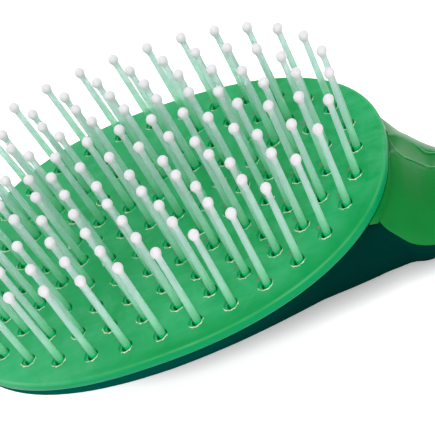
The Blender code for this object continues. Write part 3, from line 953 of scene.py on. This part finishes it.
def build_cover(mats):
    """The cover, with mats for its plastic and for the painted highlight on the fine lines on it.
    """
    cover = body_form("cover_finish")
    cut(cover, rim_band(COLLAR_INSET), "UNION")
    cut(cover, upper_region(SEAM, COLLAR_INSET + COLLAR_WALL), "INTERSECT")
    cut(cover, channel_cutter())
    cut(cover, recess_cutter())
    dress(cover, mats)
    bm = bmesh.new()
    bm.from_mesh(cover.data)
    for path in recess_edges():
        add_ridge(bm, path)
    bm.to_mesh(cover.data)
    bm.free()
    shade(cover, degrees=30)
    return cover


# Pins

def ring_path(inset, count=720):
    """An oval on the pad, as its points and how far along it each is."""
    points = [Vector((*xy, PAD_TOP + rise_at(inset))) for xy in oval(inset, count)]
    points.append(points[0].copy())
    lengths = [0.0]
    for before, after in zip(points, points[1:]):
        lengths.append(lengths[-1] + (after - before).length)
    return points, lengths


def along(path, distance):
    """The point at a distance along a path, and the direction there."""
    points, lengths = path
    distance %= lengths[-1]
    low, high = 0, len(points) - 1
    while high - low > 1:
        half = (low + high) // 2
        if lengths[half] <= distance:
            low = half
        else:
            high = half
    share = (distance - lengths[low]) / (lengths[high] - lengths[low])
    step = points[high] - points[low]
    return points[low] + step * share, step.normalized()


def bar_plans():
    """Each backing bar as (node name, line of (point, direction), feet of its pins)."""
    plans = []
    for k, (count, phase) in enumerate(RINGS):
        path = ring_path(EDGE_MARGIN + k * RING_STEP)
        step = path[1][-1] / count
        places = [(i + phase) * step for i in range(count)]
        bars = round(count / PINS_PER_BAR)
        for b in range(bars):
            first = round(b * count / bars)
            last = round((b + 1) * count / bars) - 1
            start = places[first] - step / 2 + BAR_END_GAP / 2
            end = places[last] + step / 2 - BAR_END_GAP / 2
            line = [along(path, s) for s in stations(start, end, BAR_STEPS)]
            feet = [along(path, places[i])[0] for i in range(first, last + 1)]
            plans.append((f"pin_bar_{k + 1}_{b + 1}", line, feet))
    innermost = EDGE_MARGIN + (len(RINGS) - 1) * RING_STEP
    half = HEAD_LENGTH / 2 - innermost - CENTRE_GAP
    step = 2 * half / (CENTRE_PINS - 1)
    height = PAD_TOP + rise_at(HEAD_WIDTH / 2)
    places = stations(CENTRE_SHIFT - half, CENTRE_SHIFT + half, CENTRE_PINS - 1)
    feet = [Vector((x, 0.0, height)) for x in places]
    reach = half + step / 2 - BAR_END_GAP / 2
    line = [(Vector((CENTRE_SHIFT + x, 0.0, height)), X_AXIS) for x in (-reach, reach)]
    plans.append((f"pin_bar_{len(RINGS) + 1}_1", line, feet))
    return plans


def pin_profile():
    """(height over the pad, radius, place of the material) up a pin, from inside its backing."""
    swell = PIN_HEIGHT - BALL_NECK
    profile = [
        (-PAD_THICKNESS - CLEARANCE - BAR_THICKNESS / 2, 1.06 * PIN_FOOT_RADIUS, 0),
        (-PAD_THICKNESS, 0.80 * PIN_FOOT_RADIUS, 0),
        (PIN_SHADE, 0.80 * PIN_FOOT_RADIUS, SHAFT_SLOT),
        (0.50 * PIN_FLARE, 0.78 * PIN_FOOT_RADIUS, SHAFT_SLOT),
        (1.5 * PIN_FLARE, 1.10 * PIN_RADIUS, SHAFT_SLOT),
        (3.0 * PIN_FLARE, 1.04 * PIN_RADIUS, SHAFT_SLOT),
        (swell - 0.6 * BALL_NECK, 0.98 * PIN_RADIUS, BALL_NECK_SLOT),
        (swell, PIN_RADIUS, BALL_NECK_SLOT),
        (swell + 0.25 * BALL_NECK, 1.12 * PIN_RADIUS, BALL_SLOT),
        (swell + 0.48 * BALL_NECK, 0.82 * BALL_RADIUS, BALL_SLOT),
    ]
    for angle in map(math.radians, BALL_ANGLES):
        height = PIN_HEIGHT + BALL_RADIUS * math.sin(angle)
        profile.append((height, BALL_RADIUS * math.cos(angle), BALL_SLOT))
    return profile


def add_pin(bm, foot, sides=14):
    """One pin, whose vertices keep their height over the pad."""
    layer = bm.verts.layers.float["along"]
    lean = pin_lean(foot)
    profile = pin_profile()
    rings = []
    for height, radius, _ in profile:
        rings.append(ring_around(bm, foot + lean * height, radius, sides))
        for vert in rings[-1]:
            vert[layer] = height
    for low, high, (_, _, slot) in zip(rings, rings[1:], profile):
        for face in wall(bm, low, high):
            face.material_index = slot
    bm.faces.new(list(reversed(rings[0])))
    top = bm.verts.new(foot + lean * (PIN_HEIGHT + BALL_RADIUS))
    top[layer] = PIN_HEIGHT + BALL_RADIUS
    for i in range(sides):
        face = bm.faces.new((rings[-1][i], rings[-1][(i + 1) % sides], top))
        face.material_index = profile[-1][2]


def add_bar(bm, line):
    """A backing bar just under the pad."""
    rings = []
    for point, direction in line:
        side = Vector((-direction.y, direction.x, 0.0)) * (BAR_WIDTH / 2)
        top = point.z - PAD_THICKNESS - CLEARANCE
        low = top - BAR_THICKNESS
        left, right = (point - side).xy, (point + side).xy
        corners = ((left, low), (right, low), (right, top), (left, top))
        rings.append([bm.verts.new((*corner, z)) for corner, z in corners])
    skin(bm, rings)


def build_pins(mats):
    """One piece for each backing bar, with its pins. Returns the feet of all pins."""
    all_feet = []
    for name, line, feet in bar_plans():
        bm = bmesh.new()
        bm.verts.layers.float.new("along")
        add_bar(bm, line)
        for foot in feet:
            add_pin(bm, foot)
        piece = object_from_bmesh(name.replace("pin_bar", "pins"), bm)
        for mat in mats:  # not by dress, because the faces have theirs already
            piece.data.materials.append(mat)
        shade(piece, degrees=40)
        finish_piece(piece, name, "pin_field")
        all_feet += feet
    return all_feet


# Pad

def hole_centre(foot):
    return foot + HOLE_SHIFT * Vector((math.cos(SHIFT_TURN), math.sin(SHIFT_TURN), 0.0))


def pin_lean(foot):
    """How far a pin leans, per unit of height."""
    return Vector((PIN_LEAN + PIN_FAN * foot.x / (HEAD_LENGTH / 2), 0.0, 1.0))


def hole_cutter(feet, sides=20):
    """A stepped cutter at each hole: wide and rounded at the top, close around the pin below."""
    bm = bmesh.new()
    for foot in feet:
        centre = hole_centre(foot)
        lean = pin_lean(foot)
        aside = STEP_SHARE * (centre - foot)
        depths = (2.5 * PAD_THICKNESS, HOLE_STEP)
        levels = [(foot + aside - lean * depth, STEP_RADIUS) for depth in depths]
        levels.append((centre - HOLE_STEP * Z_AXIS, HOLE_RADIUS))
        for angle in stations(0.0, math.pi / 2, HOLE_STEPS):
            drop = HOLE_ROUND * (1 - math.sin(angle)) * Z_AXIS
            levels.append((centre - drop, HOLE_RADIUS + HOLE_ROUND * (1 - math.cos(angle))))
        levels.append((centre + PAD_THICKNESS * Z_AXIS, HOLE_RADIUS + 1.2 * HOLE_ROUND))
        skin(bm, [ring_around(bm, middle, radius, sides) for middle, radius in levels])
    return object_from_bmesh("holes", bm)


def add_flash_highlight(bm, foot, number, steps=24, sides=5):
    """An arc of thin ragged flash that also carries a painted highlight, of a length and turn that
    differ from hole to hole.
    """
    turned, longer, farther = scatter(number, (12.9, 7.3, 4.1))
    centre = hole_centre(foot)
    rings = []
    for share in stations(-1.0, 1.0, steps):
        angle = FLASH_TURN + FLASH_STRAY * turned + (FLASH_SPAN + FLASH_VARY * longer) * share
        out = Vector((math.cos(angle), math.sin(angle), 0.0))
        ragged = math.sin(9 * angle + 2.3 * number) + 0.6 * math.sin(17 * angle + 5.1 * number)
        thick = FLASH_RADIUS * (0.35 + 0.65 * math.sqrt(max(0.0, 1 - share**2)))
        thick *= 1 + FLASH_RAGGED * ragged
        wander = HOLE_RADIUS + 0.5 * FLASH_RADIUS * (1 + ragged)
        wander += 2.2 * FLASH_RADIUS * max(0.0, abs(share) - 0.75) * (1 + farther)
        rings.append(ring_around(bm, centre + out * wander, thick, sides, out, Z_AXIS))
    for face in skin(bm, rings):
        face.material_index = FLASH_HIGHLIGHT_SLOT


def add_spot(bm, tree, foot, number, sides=12):
    """A slight lens on the pad's top, whose middle is painted greyish."""
    layer = bm.verts.layers.float["spot"]
    along_x, along_y, greyer = scatter(number, (5.1, 9.7, 3.3))
    aside = (SPOT_X + SPOT_SPREAD * along_x, SPOT_Y + SPOT_SPREAD * along_y, HEAD_DEPTH)
    surface = tree.ray_cast(foot + Vector(aside), -Z_AXIS)[0]
    strength = SPOT_STRENGTH * (1 - SPOT_VARY + SPOT_VARY * greyer)
    rings = []
    for share, lift, amount in SPOT_RINGS:
        ring = []
        for turn in turns(sides):
            reach = share * SPOT_RADIUS * (1 + SPOT_WOBBLE * math.sin(2 * turn + number))
            offset = (reach * math.cos(turn), reach * math.sin(turn), lift * SPOT_LIFT)
            vert = bm.verts.new(surface + Vector(offset))
            vert[layer] = strength * amount
            ring.append(vert)
        rings.append(ring)
    faces = []
    for low, high in zip(rings, rings[1:]):
        faces += wall(bm, low, high)
    faces += [bm.faces.new(list(reversed(rings[0]))), bm.faces.new(rings[-1])]
    for face in faces:
        face.material_index = SPOT_SLOT


def smooth_top(mesh):
    """Keeps the slope of the holes' edges out of the shading of the pad's top."""
    level = [face for face in mesh.polygons if face.normal.z > LEVEL_ENOUGH]
    top = [face for face in level if face.material_index == 0]
    sums = {}
    for face in top:
        for vert in face.vertices:
            sums[vert] = sums.get(vert, Vector()) + face.normal * face.area
    normals = [Vector()] * len(mesh.loops)
    for face in top:
        for loop, vert in zip(face.loop_indices, face.vertices):
            normals[loop] = sums[vert].normalized()
    mesh.normals_split_custom_set(normals)


def pad_levels():
    """(height, inset) round the pad's section, from the middle of its top to the middle below."""
    lip_bottom = RIM_Z + SEAM
    bead_outside = RIM_INSET + RIM_WALL + CLEARANCE
    bead_inside = bead_outside + BEAD_THICKNESS
    bead_bottom = PAD_TOP - LIP_HEIGHT - BEAD_HEIGHT
    insets = [share * HEAD_WIDTH / 2 for share in CROWN_SHARES]
    levels = [(PAD_TOP + rise_at(inset), inset) for inset in insets]
    for share, lift in ((1.10, 0.0), (1.0, 1.0), (0.90, 0.0)):
        inset = share * BORDER_WIDTH
        levels.append((PAD_TOP + rise_at(inset) + lift * BORDER_HEIGHT, inset))
    for angle in stations(0.0, math.pi / 2, LIP_STEPS):
        height = PAD_TOP + rise_at(LIP_ROUND) - LIP_ROUND * (1 - math.cos(angle))
        levels.append((height, LIP_ROUND * (1 - math.sin(angle))))
    levels += [
        (lip_bottom + LIP_ROUND, 0.0),
        (lip_bottom + 0.3 * LIP_ROUND, 0.3 * LIP_ROUND),
        (lip_bottom, LIP_ROUND),
        (lip_bottom, bead_outside),
        (bead_bottom, bead_outside),
        (bead_bottom, bead_inside),
        (PAD_TOP + rise_at(bead_inside) - PAD_THICKNESS, bead_inside),
    ]
    for inset in reversed(insets):
        levels.append((PAD_TOP + rise_at(inset) - PAD_THICKNESS, inset))
    return levels


def mark_hole_walls(pad, feet):
    """Gives the faces inside the holes their material."""
    grid = {}
    for centre in map(hole_centre, feet):
        for i in (-1, 0, 1):
            for j in (-1, 0, 1):
                cell = (round(centre.x / RING_STEP) + i, round(centre.y / RING_STEP) + j)
                grid.setdefault(cell, []).append(centre)
    for face in pad.data.polygons:
        cell = (round(face.center.x / RING_STEP), round(face.center.y / RING_STEP))
        for centre in grid.get(cell, ()):
            away = (face.center.xy - centre.xy).length
            inside = face.center.z < centre.z - HOLE_ROUND
            if inside and away < HOLE_RADIUS + HOLE_ROUND:
                face.material_index = WALL_SLOT


def build_pad(feet, mats):
    """The pad, with mats for its rubber, the holes' walls in painted light, their flash with its
    painted highlight, and the spots.
    """
    pad = oval_prism("pad_skin", pad_levels(), PAD_STEPS)
    cut(pad, hole_cutter(feet))
    dress(pad, mats)
    mark_hole_walls(pad, feet)
    bm = bmesh.new()
    bm.from_mesh(pad.data)
    bm.verts.layers.float.new("spot")
    tree = BVHTree.FromBMesh(bm)
    for number, foot in enumerate(feet):
        add_flash_highlight(bm, foot, number)
        add_spot(bm, tree, foot, number)
    bm.to_mesh(pad.data)
    bm.free()
    shade(pad, degrees=50)
    smooth_top(pad.data)
    return pad


# Stage

def build_stage():
    bm = bmesh.new()
    corners = ((-1, -1), (1, -1), (1, 1), (-1, 1))
    bm.faces.new([bm.verts.new((FLOOR_HALF * x, FLOOR_HALF * y, 0.0)) for x, y in corners])
    floor = object_from_bmesh("floor", bm)
    dress(floor, (floor_material(),))


def add_lamp(name, place, size, watts):
    data = bpy.data.lights.new(name, "AREA")
    data.shape = "DISK"
    data.size = size
    data.energy = watts
    lamp = bpy.data.objects.new(name, data)
    lamp.location = place
    aim = Vector(LAMP_TARGET) - Vector(place)
    lamp.rotation_euler = aim.to_track_quat("-Z", "Y").to_euler()
    bpy.context.scene.collection.objects.link(lamp)


def build_lights():
    world = bpy.data.worlds.new("studio")
    bpy.context.scene.world = world
    world.use_nodes = True
    tree = world.node_tree
    background = tree.nodes["Background"]
    background.inputs["Color"].default_value = (1.0, 1.0, 1.0, 1.0)
    seen = times(tree, beyond_surface(tree), 1 - WORLD_LIGHT)
    tree.links.new(math_node(tree, "ADD", seen, WORLD_LIGHT), background.inputs["Strength"])
    for lamp in LAMPS:
        add_lamp(*lamp)


def build_camera():
    data = bpy.data.cameras.new("camera")
    data.sensor_fit = "HORIZONTAL"
    data.sensor_width = CAMERA_SENSOR
    data.lens = CAMERA_LENS
    data.clip_start = 0.01
    camera = bpy.data.objects.new("camera", data)
    back = -Vector(CAMERA_VIEW).normalized()
    right = Vector(CAMERA_UP).cross(back).normalized()
    up = back.cross(right)
    turn = Matrix((right, up, back)).transposed().to_4x4()
    camera.matrix_world = Matrix.Translation(CAMERA_PLACE) @ turn
    bpy.context.scene.collection.objects.link(camera)
    bpy.context.scene.camera = camera


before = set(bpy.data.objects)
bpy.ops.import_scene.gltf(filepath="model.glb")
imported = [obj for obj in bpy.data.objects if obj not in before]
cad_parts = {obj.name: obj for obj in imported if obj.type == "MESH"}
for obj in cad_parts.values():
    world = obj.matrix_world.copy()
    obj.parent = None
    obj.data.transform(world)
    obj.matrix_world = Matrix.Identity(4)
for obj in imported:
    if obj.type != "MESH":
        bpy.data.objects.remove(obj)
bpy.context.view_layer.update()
bpy.context.scene.view_settings.view_transform = "Standard"

shaft = nylon_material("milky_nylon", 0.45)
neck = nylon_material("whiter_nylon", 0.25)
feet = build_pins((backing_material(), shaft, neck, tip_material()))
pad = build_pad(feet, (rubber_material(), hole_wall_material(), flash_highlight_material(), spot_material()))
finish_piece(pad, "cushion_pad", "body")
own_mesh(pad)
finish_piece(build_shell(shell_material()), "back_shell", "body")
cover = build_cover((cover_material(), ridge_highlight_material()))
finish_piece(cover, "handle_cover", "body")
build_stage()
build_lights()
build_camera()
